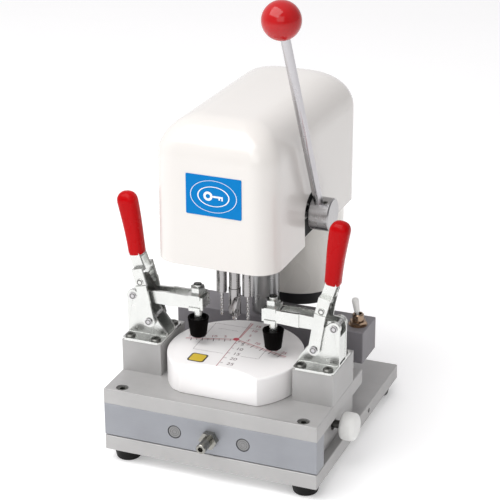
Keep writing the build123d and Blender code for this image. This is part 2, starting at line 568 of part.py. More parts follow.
def belt_outline(x, y, extra):
    """Points round both wheels of a belt, lying extra outside the wheels' faces."""
    big, small = MOTOR_PULLEY_R + extra, SPINDLE_PULLEY_R + extra
    span = hypot(x - MOTOR_X, y - MOTOR_Y)
    heading, turn = atan2(y - MOTOR_Y, x - MOTOR_X), (big - small) / span
    points = []
    for cx, cy, radius, middle, half in ((MOTOR_X, MOTOR_Y, big, heading + pi, pi / 2 + turn),
                                         (x, y, small, heading, pi / 2 - turn)):
        for n in range(19):
            a = middle - half + 2 * half * n / 18
            points.append((cx + radius * cos(a), cy + radius * sin(a)))
    return points


def belt(x, y, z, gap=0.35, thick=1.3, width=5.0):
    """A closed flat belt from the motor pulley to a spindle wheel."""
    loops = []
    for extra in (gap + thick, gap):
        points = [(px, py, z - width / 2) for px, py in belt_outline(x, y, extra)]
        loops.append(extrude(make_face(Polyline(*points, close=True)), width, dir=(0, 0, 1)))
    return loops[0] - loops[1]


def spindles():
    belts = []
    for n, (name, belt_z) in enumerate(zip(("left", "middle", "right"), BELT_Z)):
        x = HEAD_X + (n - 1) * SPINDLE_PITCH
        nose = round_z(x, SPINDLE_Y, 5.4, SPINDLE_NOSE_Z, 201.0)
        if name == "middle":
            nose = round_z(x, SPINDLE_Y, 5.6, 150.0, 201.0)
        nose = chamfer(nose.faces().sort_by(Axis.Z)[0].edges(), 0.8)
        spindle = nose + round_z(x, SPINDLE_Y, 3.0, 201.0, belt_z + 6) + belt_wheel(
            x, SPINDLE_Y, SPINDLE_PULLEY_R, belt_z)
        bit_r, tip_z, top_z = bit_size(name)
        spindle -= round_z(x, SPINDLE_Y, bit_r, SPINDLE_NOSE_Z - 1, top_z)
        save("spindle_" + name, spindle)
        save("cutter_" + name, cutter(x, bit_r, tip_z, top_z, name))
        belts.append(belt(x, SPINDLE_Y, belt_z))
    save("drive_belts", *belts)


def bit_size(name):
    """Shank radius, tip height and top of the shank for each tool."""
    return {"left": (1.75, 118.0, 165.0), "middle": (3.0, 114.3, 172.0),
            "right": (1.5, 117.2, 165.0)}[name]


def cutter(x, r, tip_z, top_z, name):
    cone_h = r * 1.2
    tool = round_z(x, SPINDLE_Y, r, tip_z + cone_h, top_z)
    tool += Pos(x, SPINDLE_Y, tip_z + cone_h / 2) * Cone(0.05, r, cone_h)
    if name == "middle":
        collar = round_z(x, SPINDLE_Y, 6.1, 122.0, 150.0)
        collar = chamfer(collar.faces().sort_by(Axis.Z)[0].edges(), 1.0)
        flute = Pos(x + 2.0, SPINDLE_Y - 9.4, 128) * Rot(12, 0, 0) * Box(16, 10, 34)
        tool += collar - flute
    else:
        for turn in (0, 180):
            tool -= Pos(x, SPINDLE_Y, 0) * Rot(0, 0, turn) * Pos(r, 0, tip_z + 9) * Cylinder(r * 0.45, 18)
    return tool


# ---- feed ---------------------------------------------------------------------
def pinion():
    pitch_r = GEAR_MODULE * GEAR_TEETH / 2
    tip_r, root_r = pitch_r + 1.3, pitch_r - 1.9
    gear = round_x(0, 0, root_r, -4, 4)
    tooth = plate_yz([(root_r - 1, -1.45), (tip_r, -0.4), (tip_r, 0.4), (root_r - 1, 1.45)], -4, 4)
    for n in range(GEAR_TEETH):
        gear += Rot(360 / GEAR_TEETH * n, 0, 0) * tooth
    gear += round_x(0, 0, 8.5, 4, 9)
    return Pos(HEAD_X, FEED_Y, FEED_Z) * (gear - round_x(0, 0, 6.0, -4, 9))


def feed():
    shaft = round_x(FEED_Y, FEED_Z, 6.0, HEAD_X - FRAME_HALF - 3, HUB_X1 - 2)
    save("feed_shaft", chamfer(shaft.edges().filter_by(GeomType.CIRCLE), 0.8))
    save("pinion", pinion())

    place = Pos(LEVER_X, FEED_Y, FEED_Z) * Rot(LEVER_LEAN, 0, 0)
    rod = place * Pos(0, 0, (9 + LEVER_LEN - 4) / 2) * Cylinder(LEVER_R, LEVER_LEN - 4 - 9)
    hub = round_x(FEED_Y, FEED_Z, HUB_R, HUB_X0, HUB_X1)
    hub = chamfer(hub.edges().filter_by(GeomType.CIRCLE), 1.2)
    hub -= round_x(FEED_Y, FEED_Z, 6.0, HUB_X0, HUB_X1 - 2)
    hub -= place * Pos(0, 0, 20) * Cylinder(LEVER_R, 22)
    hub -= Pos(HUB_X1 - 6.0, FEED_Y, FEED_Z) * Rot(LEVER_LEAN, 0, 0) * Pos(0, 0, 14) * Cylinder(2.5, 8)
    ball = place * Pos(0, 0, LEVER_LEN) * Sphere(BALL_R)
    ball -= place * Pos(0, 0, LEVER_LEN - BALL_R - 3) * Box(40, 40, 9.0)
    ball -= place * Pos(0, 0, LEVER_LEN - 12) * Cylinder(LEVER_R, 16)
    save("lever_hub", hub)
    save("lever_rod", rod)
    save("lever_ball", ball)

    coil_x0, turns, coil_pitch = HEAD_X - 40, 7, 2.6
    path = Helix(coil_pitch, coil_pitch * turns, 9.0)
    wire = sweep(Plane(path @ 0, z_dir=path % 0) * Circle(0.8), path=path)
    save("return_spring", Pos(coil_x0, FEED_Y, FEED_Z) * Rot(0, 90, 0) * wire)


os.makedirs("parts", exist_ok=True)
base()
slide_body()
column_block()
switch()
carriage()
lock_knob()
clamps()
head_cover()
head_frame()
motor()
spindles()
feed()
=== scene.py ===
import bpy
import bmesh
import json
import math
from math import cos, pi, radians, sin
from mathutils import Matrix, Vector


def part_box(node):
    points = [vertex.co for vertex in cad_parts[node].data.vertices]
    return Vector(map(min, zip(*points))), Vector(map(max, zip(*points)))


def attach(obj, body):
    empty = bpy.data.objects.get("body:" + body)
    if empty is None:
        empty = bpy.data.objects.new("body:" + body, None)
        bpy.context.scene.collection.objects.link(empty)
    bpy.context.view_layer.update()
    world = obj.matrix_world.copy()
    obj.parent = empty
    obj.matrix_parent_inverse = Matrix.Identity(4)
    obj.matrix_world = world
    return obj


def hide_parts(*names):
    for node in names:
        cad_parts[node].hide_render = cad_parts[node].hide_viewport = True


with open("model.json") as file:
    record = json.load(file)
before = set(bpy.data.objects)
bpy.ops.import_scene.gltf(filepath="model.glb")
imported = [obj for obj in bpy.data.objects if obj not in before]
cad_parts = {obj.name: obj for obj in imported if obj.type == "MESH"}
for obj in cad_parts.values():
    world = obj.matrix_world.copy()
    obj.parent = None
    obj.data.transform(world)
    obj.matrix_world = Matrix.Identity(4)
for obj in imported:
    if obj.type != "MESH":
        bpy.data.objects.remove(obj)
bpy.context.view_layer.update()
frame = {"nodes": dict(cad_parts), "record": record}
NODES = frame["nodes"]

# Machine millimetres: x = 0 at the middle of the base plate, y = 0 at its front
# face, z = 0 at its underside.  V() turns them into the row frame's metres.
base_lo, base_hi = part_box("base_plate")
ORIGIN = Vector(((base_lo[0] + base_hi[0]) / 2, base_lo[1], base_lo[2]))
MM = 0.001
HEAD_X = -10.0        # the middle spindle and the label stand here


def V(x, y, z):
    return ORIGIN + Vector((x, y, z)) * MM


def smooth(t):
    t = min(1.0, max(0.0, t))
    return t * t * (3 - 2 * t)


# ---- camera, lights, floor ------------------------------------------------------
AZ, EL, ROLL = radians(21.96), radians(23.34), radians(-0.25)
cam_data = bpy.data.cameras.new("camera")
cam_data.sensor_width = 36.0
cam_data.lens = 133.7
camera = bpy.data.objects.new("camera", cam_data)
bpy.context.scene.collection.objects.link(camera)
back = Vector((sin(AZ) * cos(EL), -cos(AZ) * cos(EL), sin(EL)))
right = Vector((cos(AZ), sin(AZ), 0))
up = back.cross(right)
turn = Matrix((right, up, back)).transposed().to_4x4() @ Matrix.Rotation(ROLL, 4, "Z")
camera.matrix_world = Matrix.Translation(V(619.7, -1428.5, 900.5)) @ turn
bpy.context.scene.camera = camera


def area_light(name, place, aim, size, power, tint=(1, 1, 1)):
    data = bpy.data.lights.new(name, "AREA")
    data.shape = "RECTANGLE"
    data.size, data.size_y = size
    data.energy = power
    data.color = tint
    obj = bpy.data.objects.new(name, data)
    bpy.context.scene.collection.objects.link(obj)
    obj.matrix_world = (Matrix.Translation(place)
                        @ (Vector(aim) - Vector(place)).to_track_quat("-Z", "Y").to_matrix().to_4x4())


area_light("key", (0.5, -1.8, 1.2), (0, 0, 0.15), (1.4, 1.0), 6)
area_light("top", (-0.5, -0.8, 1.7), (0, 0, 0.1), (1.8, 1.4), 27)


def studio_world():
    """A pale room, dimmer in front of the machine and on its right."""
    world = bpy.data.worlds.new("studio")
    bpy.context.scene.world = world
    world.use_nodes = True
    tree = world.node_tree
    background = tree.nodes["Background"]
    background.inputs["Strength"].default_value = 0.76
    split = tree.nodes.new("ShaderNodeSeparateXYZ")
    tree.links.new(tree.nodes.new("ShaderNodeTexCoord").outputs["Generated"], split.inputs["Vector"])

    def shade(source, start, stop, low):
        node = tree.nodes.new("ShaderNodeMapRange")
        node.interpolation_type = "SMOOTHSTEP"
        node.inputs["From Min"].default_value = start
        node.inputs["From Max"].default_value = stop
        node.inputs["To Min"].default_value = 1.0
        node.inputs["To Max"].default_value = low
        tree.links.new(source, node.inputs["Value"])
        return node.outputs["Result"]

    product = tree.nodes.new("ShaderNodeMath")
    product.operation = "MULTIPLY"
    tree.links.new(shade(split.outputs["Y"], 0.1, -0.8, 0.45), product.inputs[0])
    tree.links.new(shade(split.outputs["X"], 0.1, 0.8, 0.5), product.inputs[1])
    tint = tree.nodes.new("ShaderNodeCombineColor")
    for channel, gain in (("Red", 1.0), ("Green", 0.985), ("Blue", 1.0)):
        scale = tree.nodes.new("ShaderNodeMath")
        scale.operation = "MULTIPLY"
        scale.inputs[1].default_value = gain
        tree.links.new(product.outputs["Value"], scale.inputs[0])
        tree.links.new(scale.outputs["Value"], tint.inputs[channel])
    tree.links.new(tint.outputs["Color"], background.inputs["Color"])


studio_world()
bpy.context.scene.view_settings.view_transform = "Standard"


# ---- materials ------------------------------------------------------------------
class Paint:
    """One procedural material: a shader, the object's own coordinates, and noise layers."""

    def __init__(self, name, color, rough, metal=0.0, coat=0.0, spec=0.5):
        self.mat = bpy.data.materials.new(name)
        self.mat.use_nodes = True
        self.tree = self.mat.node_tree
        self.bsdf = self.tree.nodes["Principled BSDF"]
        self.color = color
        self.set("Base Color", (*color, 1))
        self.set("Metallic", metal)
        self.set("Roughness", rough)
        self.set("Specular IOR Level", spec)
        self.set("Coat Weight", coat)
        self.set("Coat Roughness", 0.08)
        self.rough = rough
        self.coords = self.new("ShaderNodeTexCoord").outputs["Object"]
        self.bumps = None

    def new(self, kind, **values):
        node = self.tree.nodes.new(kind)
        for key, value in values.items():
            setattr(node, key, value)
        return node

    def set(self, socket, value):
        self.bsdf.inputs[socket].default_value = value

    def link(self, a, b):
        self.tree.links.new(a, b)

    def noise(self, scale, stretch=(1, 1, 1), detail=4.0, rough=0.55):
        mapping = self.new("ShaderNodeMapping")
        mapping.inputs["Scale"].default_value = stretch
        self.link(self.coords, mapping.inputs["Vector"])
        tex = self.new("ShaderNodeTexNoise")
        tex.inputs["Scale"].default_value = scale
        tex.inputs["Detail"].default_value = detail
        tex.inputs["Roughness"].default_value = rough
        self.link(mapping.outputs["Vector"], tex.inputs["Vector"])
        return tex.outputs["Fac"]

    def span(self, source, low, high, start=0.3, stop=0.7):
        node = self.new("ShaderNodeMapRange")
        node.inputs["From Min"].default_value = start
        node.inputs["From Max"].default_value = stop
        node.inputs["To Min"].default_value = low
        node.inputs["To Max"].default_value = high
        self.link(source, node.inputs["Value"])
        return node.outputs["Result"]

    def tone(self, source, dark, light=1.0, start=0.3, stop=0.7):
        """The colour varies between dark and light times its own value."""
        ramp = self.new("ShaderNodeValToRGB")
        ramp.color_ramp.elements[0].position = start
        ramp.color_ramp.elements[1].position = stop
        for element, factor in zip(ramp.color_ramp.elements, (dark, light)):
            tint = factor if isinstance(factor, tuple) else (factor,) * 3
            element.color = (*(min(1.0, c * f) for c, f in zip(self.color, tint)), 1)
        self.link(source, ramp.inputs["Fac"])
        self.link(ramp.outputs["Color"], self.bsdf.inputs["Base Color"])
        return self

    def shine(self, source, low, high, start=0.3, stop=0.7):
        self.link(self.span(source, low, high, start, stop), self.bsdf.inputs["Roughness"])
        return self

    def bump(self, source, strength, depth=0.0005):
        node = self.new("ShaderNodeBump")
        node.inputs["Strength"].default_value = strength
        node.inputs["Distance"].default_value = depth
        self.link(source, node.inputs["Height"])
        if self.bumps is not None:
            self.link(self.bumps, node.inputs["Normal"])
        self.bumps = node.outputs["Normal"]
        self.link(self.bumps, self.bsdf.inputs["Normal"])
        return self


def ground_metal(name, color, rough, along, metal=0.75):
    """Machined plate: fine streaks along one axis over soft clouding."""
    p = Paint(name, color, rough, metal)
    stretch = {"x": (0.03, 1, 1), "y": (1, 0.03, 1), "z": (1, 1, 0.03)}[along]
    streaks = p.noise(1500, stretch, 3.0)
    clouds = p.noise(22, (1, 1, 1), 3.0)
    p.tone(clouds, 0.93, 1.05)
    p.shine(streaks, rough - 0.05, rough + 0.07)
    return p.bump(streaks, 0.12, 0.0002).mat


def bright_metal(name, color, rough, scale=60, metal=1.0, grain=0.04):
    """Plated or turned metal: cloudy shine, faint handling marks."""
    p = Paint(name, color, rough, metal)
    clouds = p.noise(scale, (1, 1, 1), 3.0)
    fine = p.noise(900, (1, 1, 0.15), 3.0)
    p.tone(clouds, 0.94, 1.04)
    p.shine(clouds, rough * 0.85, rough * 1.2)
    return p.bump(fine, grain, 0.0002).mat


def glossy_paint(name, color, rough, coat):
    """Smooth sprayed paint: soft clouding, a nearly even gloss and a trace of orange peel."""
    p = Paint(name, color, rough, 0.0, coat)
    p.tone(p.noise(9, (1, 1, 1), 1.0), (0.985, 0.98, 0.975), 1.0)
    p.shine(p.noise(20, (1, 1, 1), 1.0), rough * 0.94, rough * 1.06)
    return p.bump(p.noise(160, (1, 1, 1), 0.0), 0.02, 0.0001).mat


def moulded(name, color, rough, coat=0.0, grain=0.08, scale=700, tint=(0.95, 0.95, 0.94), spec=0.5):
    """Plastic or paint: slight clouding, uneven gloss and a fine grain."""
    p = Paint(name, color, rough, 0.0, coat, spec)
    clouds = p.noise(14, (1, 1, 1), 3.0)
    fine = p.noise(scale, (1, 1, 1), 2.0)
    p.tone(clouds, tint, 1.02)
    p.shine(p.noise(45, (1, 1, 1), 4.0), rough * 0.85, rough * 1.2)
    return p.bump(fine, grain, 0.0002).mat


MATS = {
    "plate_metal": ground_metal("plate_metal", (0.45, 0.445, 0.44), 0.45, "x", 0.3),
    "bar_metal": ground_metal("bar_metal", (0.31, 0.32, 0.345), 0.40, "x", 0.45),
    "block_grey": ground_metal("block_grey", (0.215, 0.205, 0.22), 0.5, "z", 0.15),
    "steel": bright_metal("steel", (0.52, 0.51, 0.525), 0.26, 25, grain=0.008),
    # Painted shade: a darker copy of steel for the spindles, which stand in the shade under the head.
    "spindle_steel": bright_metal("spindle_steel", (0.36, 0.35, 0.35), 0.20, 25, grain=0.008),
    "column_steel": bright_metal("column_steel", (0.34, 0.34, 0.34), 0.30),
    "nut_metal": bright_metal("nut_metal", (0.30, 0.295, 0.27), 0.26, 90),
    # Painted shade: a darker copy of steel for the lever's hub, whose end faces the shaded right side.
    "hub_steel": bright_metal("hub_steel", (0.43, 0.425, 0.43), 0.24, 25, grain=0.008),
    "rod_end": bright_metal("rod_end", (0.25, 0.25, 0.25), 0.36, 200, 0.8),
    "zinc": bright_metal("zinc", (0.68, 0.69, 0.67), 0.24, 90, 0.92),
    "dark_screw": bright_metal("dark_screw", (0.16, 0.16, 0.15), 0.34, 120),
    "tool_steel": bright_metal("tool_steel", (0.50, 0.49, 0.49), 0.16, 120, grain=0.015),
    "grip_red": moulded("grip_red", (0.47, 0.001, 0.003), 0.26, 0.0, 0.08, 500, (0.9, 0.8, 0.8), 0.12),
    "ball_red": moulded("ball_red", (0.46, 0.008, 0.010), 0.09, 0.0, 0.02, 300, (0.93, 0.85, 0.85), 0.40),
    "tip_rubber": moulded("tip_rubber", (0.002, 0.0015, 0.0015), 0.55, 0.0, 0.25, 900, spec=0.03),
    "foot_rubber": moulded("foot_rubber", (0.006, 0.006, 0.006), 0.45, 0.0, 0.25, 900, spec=0.15),
    "belt_rubber": moulded("belt_rubber", (0.02, 0.02, 0.02), 0.6, 0.0, 0.3, 1200),
    "nylon_white": moulded("nylon_white", (0.84, 0.84, 0.82), 0.38, 0.0, 0.12, 500),
    "table_white": glossy_paint("table_white", (0.93, 0.915, 0.91), 0.30, 0.10),
    "cover_white": glossy_paint("cover_white", (0.76, 0.735, 0.705), 0.24, 0.35),
    "motor_cream": glossy_paint("motor_cream", (0.92, 0.90, 0.85), 0.28, 0.2),
    "black_plastic": moulded("black_plastic", (0.015, 0.015, 0.016), 0.42, 0.0, 0.25, 800),
    "frame_black": moulded("frame_black", (0.006, 0.006, 0.006), 0.55, 0.0, 0.45, 500, spec=0.06),
    "bronze": bright_metal("bronze", (0.33, 0.235, 0.165), 0.24),
    "label_blue": moulded("label_blue", (0.001, 0.19, 0.52), 0.45, 0.0, 0.04, 700, (0.97, 0.97, 0.97), 0.08),
}
PRINTS = {
    "print_red": moulded("print_red", (0.36, 0.03, 0.06), 0.45, 0.0, 0.05),
    "print_pink": moulded("print_pink", (0.72, 0.42, 0.43), 0.45, 0.0, 0.05),
    "print_bright": moulded("print_bright", (0.62, 0.02, 0.05), 0.35, 0.2, 0.03),
    "print_dark": moulded("print_dark", (0.10, 0.04, 0.05), 0.45, 0.0, 0.05),
    "sticker_yellow": moulded("sticker_yellow", (0.72, 0.52, 0.05), 0.35, 0.2, 0.04),
    # Dark ink for the sticker's rim and the rods' turning marks; round each guide rod's end it is painted
    # shade of the gap.
    "dark_marks_and_gap_shade": moulded("dark_marks_and_gap_shade", (0.035, 0.035, 0.04), 0.6, 0.0, 0.2),
    "glint_white": moulded("glint_white", (0.85, 0.87, 0.90), 0.35, 0.0, 0.05),
}

floor_paint = Paint("floor_paper", (0.93, 0.93, 0.93), 0.7)
floor_paint.set("Emission Color", (1, 1, 1, 1))
floor_paint.set("Emission Strength", 0.26)
floor_paint.tone(floor_paint.noise(5, (1, 1, 1), 2.0), 0.99, 1.0)
floor_mesh = bpy.data.meshes.new("floor")
floor_mesh.from_pydata([(-9, -9, 0), (9, -9, 0), (9, 9, 0), (-9, 9, 0)], [], [(0, 1, 2, 3)])
floor_mesh.materials.append(floor_paint.mat)
floor = bpy.data.objects.new("floor", floor_mesh)
bpy.context.scene.collection.objects.link(floor)


# ---- mesh helpers ---------------------------------------------------------------
def piece(name, verts, faces, body, material, node=None, sharp=35):
    """A new piece in the row frame that rides on a body."""
    mesh = bpy.data.meshes.new(name)
    mesh.from_pydata([tuple(v) for v in verts], [], faces)
    bm = bmesh.new()
    bm.from_mesh(mesh)
    bmesh.ops.remove_doubles(bm, verts=bm.verts, dist=1e-7)
    bmesh.ops.recalc_face_normals(bm, faces=bm.faces)
    bm.to_mesh(mesh)
    bm.free()
    for polygon in mesh.polygons:
        polygon.use_smooth = True
    mesh.set_sharp_from_angle(angle=radians(sharp))
    mesh.materials.append(MATS.get(material) or PRINTS[material])
    obj = bpy.data.objects.new(name, mesh)
    bpy.context.scene.collection.objects.link(obj)
    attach(obj, body)
    if node:
        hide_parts(node)
    return obj


def skin(rings, close_start=True, close_end=True):
    """Quads between equal rings of points, with its ends closed."""
    n = len(rings[0])
    verts = [v for ring in rings for v in ring]
    faces = []
    for a in range(len(rings) - 1):
        for b in range(n):
            c = (b + 1) % n
            faces.append((a * n + b, a * n + c, (a + 1) * n + c, (a + 1) * n + b))
    if close_start:
        faces.append(tuple(range(n - 1, -1, -1)))
    if close_end:
        faces.append(tuple(range((len(rings) - 1) * n, len(rings) * n)))
    return verts, faces


def rounded(profile, steps=5):
    """Points of an open profile; a corner (r, h, radius) is rounded by that radius."""
    out = []
    for i, point in enumerate(profile):
        if len(point) == 2 or i in (0, len(profile) - 1):
            out.append((point[0], point[1]))
            continue
        p = Vector(point[:2])
        a = (Vector(profile[i - 1][:2]) - p)
        b = (Vector(profile[i + 1][:2]) - p)
        cut = min(point[2], a.length * 0.49, b.length * 0.49)
        start, stop = p + a.normalized() * cut, p + b.normalized() * cut
        for k in range(steps + 1):
            t = k / steps
            q = start * (1 - t) ** 2 + p * 2 * t * (1 - t) + stop * t * t
            out.append((q.x, q.y))
    return out


def lathe(name, profile, place, body, material, node=None, segments=72, sharp=35, hollow=False):
    """A turned piece: profile points are (radius, height) in mm along place's local Z.

    A hollow piece is a ring whose profile is closed on itself."""
    rings = []
    angles = [2 * pi * k / segments for k in range(segments)]
    for r, h in rounded(profile):
        r = max(r, 0.001)
        rings.append([place @ (Vector((r * cos(a), r * sin(a), h)) * MM) for a in angles])
    if hollow:
        rings.append(rings[0])
    verts, faces = skin(rings, not hollow, not hollow)
    return piece(name, verts, faces, body, material, node, sharp)


def facing_x(x, y, z):
    return Matrix.Translation(V(x, y, z)) @ Matrix.Rotation(pi / 2, 4, "Y")


def facing_front(x, y, z):
    return Matrix.Translation(V(x, y, z)) @ Matrix.Rotation(pi / 2, 4, "X")


def slab(name, outline, low, high, place, body, material, node=None, bevel=0.0):
    """A flat piece: outline in the place's XY plane in mm, from low to high."""
    rings = [[place @ (Vector((x, y, h)) * MM) for x, y in outline] for h in (low, high)]
    verts, faces = skin(rings)
    obj = piece(name, verts, faces, body, material, node)
    if bevel:
        soften(obj, bevel)
    return obj


def soften(obj, width, angle=35, segments=2):
    weld = obj.modifiers.new("weld", "WELD")
    weld.merge_threshold = 2e-6
    bevel = obj.modifiers.new("edge", "BEVEL")
    bevel.width = width * MM
    bevel.segments = segments
    bevel.limit_method = "ANGLE"
    bevel.angle_limit = radians(angle)
    bevel.use_clamp_overlap = True
    normal = obj.modifiers.new("shade", "WEIGHTED_NORMAL")
    normal.keep_sharp = False
    return obj


# ---- CAD pieces that stay, with better surfaces -----------------------------------
EDGE = {
    "plate_metal": 0.35, "bar_metal": 0.35, "block_grey": 0.4, "zinc": 0.3, "dark_screw": 0.2,
    "steel": 0.15, "motor_cream": 0.4, "black_plastic": 0.3,
}
record_slots = {entry["node"]: entry["material_slot"] for entry in frame["record"]["subparts"]}
# These nodes look darker in the photo than the others of their slot.
# For the lever's hub and the spindles the darker steel is painted shade.
DARKER = {
    "stop_screw": "nut_metal", "guide_rods": "rod_end", "lever_hub": "hub_steel", "head_bushes": "dark_screw",
    "spindle_left": "spindle_steel", "spindle_middle": "spindle_steel", "spindle_right": "spindle_steel",
}
SHARP_NODES = ("motor_rotor", "return_spring", "pinion", "rack", "base_screws")
for node_name, node in NODES.items():
    slot_name = record_slots.get(node_name)
    if slot_name in MATS:
        for material_slot in node.material_slots:
            material_slot.material = MATS[DARKER.get(node_name, slot_name)]
for node_name in sorted(NODES):
    width = EDGE.get(record_slots.get(node_name))
    if width and node_name not in SHARP_NODES:
        soften(NODES[node_name], width)


# ---- head cover -------------------------------------------------------------------
COVER_X, COVER_HALF, COVER_Y0, COVER_Y1 = -12.8, 62.2, 44.0, 294.0
FEED_Y, FEED_Z = 152, 216    # the feed shaft's axis
SLOT_R = 22                  # the slot in the cover's right side that the lever's hub passes through


def cover_outline(inset, count=22):
    """A rounded rectangle round the head, shrunk by inset."""
    half, y0, y1 = COVER_HALF - inset, COVER_Y0 + inset, COVER_Y1 - inset
    points = []
    for cx, cy, start, radius in ((1, 1, 0, 30), (-1, 1, 90, 30), (-1, -1, 180, 24), (1, -1, 270, 24)):
        r = max(4.0, radius - inset * 0.35)
        r = min(r, half, (y1 - y0) / 2)
        ox = cx * (half - r)
        oy = y1 - r if cy > 0 else y0 + r
        for k in range(count):
            a = radians(start + 90 * k / (count - 1))
            points.append((ox + r * cos(a), oy + r * sin(a)))
    dense = []
    for i, p in enumerate(points):
        q = points[(i + 1) % len(points)]
        dense.append(p)
        gap = math.hypot(q[0] - p[0], q[1] - p[1])
        extra = 0
        if i % count == count - 1:
            extra = 24 if i // count in (0, 2) else 48
        for k in range(1, extra + 1):
            t = k / (extra + 1)
            dense.append((p[0] + (q[0] - p[0]) * t, p[1] + (q[1] - p[1]) * t))
    return dense


def cover_point(x, y, level):
    """Level runs from 0 at the rim to 1 at the crown, which slopes to the rear."""
    along = (y - COVER_Y0) / (COVER_Y1 - COVER_Y0)
    low = 189.4 - 3.2 * along
    high = 331.5 - 9.0 * along
    z = low + (high - low) * level
    fold = COVER_Y0 + 62 + (z - 330) * -0.42
    step = 1.4 * (1 - smooth((y - fold) / 34)) * smooth((level + 0.25) * 1.4) * smooth((1.02 - level) * 6)
    if x > 20:
        x -= step * smooth((x - 20) / 40)
    return V(COVER_X + x, y, z)


def head_cover():
    height, radius = 142.0, 39.0
    levels = [(0, 0.0), (0, 0.004)] + [(0, (height - radius) / height * k / 14) for k in range(1, 15)]
    for k in range(1, 17):
        a = pi / 2 * k / 16
        levels.append((radius * (1 - cos(a)), (height - radius + radius * sin(a)) / height))
    levels += [(radius + 22 * k / 6 * 0.94, 1.0) for k in range(1, 7)]
    rings = [[cover_point(x, y, level) for x, y in cover_outline(inset)] for inset, level in levels]
    verts, faces = skin(rings, close_start=False)
    shell = piece("head_cover_shell", verts, faces, "head", "cover_white", sharp=60)
    solid = shell.modifiers.new("wall", "SOLIDIFY")
    solid.thickness = 2.5 * MM
    solid.offset = -1
    arch = [(-SLOT_R * cos(pi * k / 24), SLOT_R * sin(pi * k / 24)) for k in range(25)]
    cutter_outline = [(-SLOT_R, -60)] + arch + [(SLOT_R, -60)]
    place = (Matrix.Translation(V(COVER_X + 32, FEED_Y, FEED_Z))
             @ Matrix.Rotation(pi / 2, 4, "Z") @ Matrix.Rotation(pi / 2, 4, "X"))
    verts, faces = skin([[place @ (Vector((x, y, h)) * MM) for x, y in cutter_outline] for h in (-5, 60)])
    mesh = bpy.data.meshes.new("slot_cut")
    mesh.from_pydata([tuple(v) for v in verts], [], faces)
    cutter = bpy.data.objects.new("slot_cut", mesh)
    bpy.context.scene.collection.objects.link(cutter)
    bm = bmesh.new()
    bm.from_mesh(mesh)
    bmesh.ops.recalc_face_normals(bm, faces=bm.faces)
    bm.to_mesh(mesh)
    bm.free()
    cut = shell.modifiers.new("slot", "BOOLEAN")
    cut.object = cutter
    cut.operation = "DIFFERENCE"
    cut.solver = "EXACT"
    bpy.context.view_layer.update()
    done = bpy.data.meshes.new_from_object(shell.evaluated_get(bpy.context.evaluated_depsgraph_get()))
    shell.modifiers.clear()
    shell.data = done
    bpy.data.objects.remove(cutter)
    for polygon in done.polygons:
        polygon.use_smooth = True
    done.set_sharp_from_angle(angle=radians(40))
    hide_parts("head_cover")
    return shell


head_cover()


# ---- label: a plain blue plate with a key drawn in white ---------------------------
def label():
    place = facing_front(HEAD_X - 0.2, COVER_Y0, 263.6)
    half_w, half_h, r = 28.0, 20.0, 1.2
    outline = []
    for cx, cy, start in ((1, 1, 0), (-1, 1, 90), (-1, -1, 180), (1, -1, 270)):
        for k in range(5):
            a = radians(start + 22.5 * k)
            outline.append((cx * (half_w - r) + r * cos(a), cy * (half_h - r) + r * sin(a)))
    slab("label_face", outline, 0.0, 0.5, place, "head", "label_blue", "label_plate")

    def band(name, inner, outer, squeeze, x=0.0):
        verts, faces = [], []
        for k in range(72):
            a = 2 * pi * k / 72
            for r in (inner, outer):
                verts.append(place @ (Vector((x + r * cos(a), r * squeeze * sin(a), 0.62)) * MM))
        for k in range(72):
            n = (k + 1) % 72
            faces.append((2 * k, 2 * k + 1, 2 * n + 1, 2 * n))
        piece(name, verts, faces, "head", "glint_white")

    band("label_oval_outer", 22.9, 23.5, 0.68)
    band("label_oval_inner", 15.0, 16.2, 0.62)
    band("label_key_bow", 2.2, 4.6, 1.0, -5.5)
    shaft = [(-1.2, 0.9), (-1.2, -0.9), (5.2, -0.9), (5.2, -2.8), (6.6, -2.8), (6.6, -0.9), (8.0, -0.9),
             (8.0, -3.2), (9.4, -3.2), (9.4, 0.9)]
    slab("label_key_blade", shaft, 0.5, 0.62, place, "head", "glint_white")


label()


# ---- key table with its printed scale ----------------------------------------------
TABLE_X, TABLE_Y, TABLE_R, TABLE_Z0, TABLE_Z1, TABLE_FRONT = 0.0, 70.6, 67.0, 66.1, 95.4, 18.7


def table_outline(rise, inset):
    """The disc cut off by a front chord that is scooped back towards the top."""
    r = TABLE_R - inset
    front = TABLE_FRONT + inset
    half = math.sqrt(r * r - (TABLE_Y - front) ** 2)
    start = math.atan2(front - TABLE_Y, half)
    points = []
    for k in range(97):
        a = start + (pi - 2 * start) * k / 96
        points.append((r * cos(a), TABLE_Y + r * sin(a)))
    scoop = 12.3 * rise ** 2.2
    for k in range(1, 40):
        t = k / 40
        x = -half + 2 * half * t
        y = front + scoop * (1 - (x / half) ** 2)
        points.append((x, y))
    return soften_corner(points, 96, 7.0)


def soften_corner(points, index, reach):
    """The left corner of the front edge is rounded; the right one stays crisp."""
    cx, cy = points[index]
    out = []
    for x, y in points:
        d = math.hypot(x - cx, y - cy)
        if d < reach:
            pull = (1 - d / reach) ** 2 * 2.6
            dx, dy = TABLE_X + 8 - cx, TABLE_Y - cy
            n = math.hypot(dx, dy)
            x, y = x + dx / n * pull, y + dy / n * pull
        out.append((x, y))
    return out


def key_table():
    rows = [(TABLE_Z0, 0.8), (TABLE_Z0 + 0.8, 0.0)]
    rows += [(TABLE_Z0 + 0.8 + (TABLE_Z1 - TABLE_Z0 - 2.2) * k / 12, 0.0) for k in range(1, 13)]
    rows += [(TABLE_Z1 - 1.4 + 1.4 * sin(radians(a)), 1.4 * (1 - cos(radians(a)))) for a in (22, 45, 67, 90)]
    rings = []
    for z, inset in rows:
        rise = (z - TABLE_Z0) / (TABLE_Z1 - TABLE_Z0)
        rings.append([V(x, y, z) for x, y in table_outline(rise, inset)])
    verts, faces = skin(rings)
    piece("key_table_body", verts, faces, "carriage", "table_white", "key_table", 40)


key_table()
PRINT_Z = TABLE_Z1 + 0.05
SCALE_X, SCALE_Y, STEP = -8.0, 92.5, 10.9


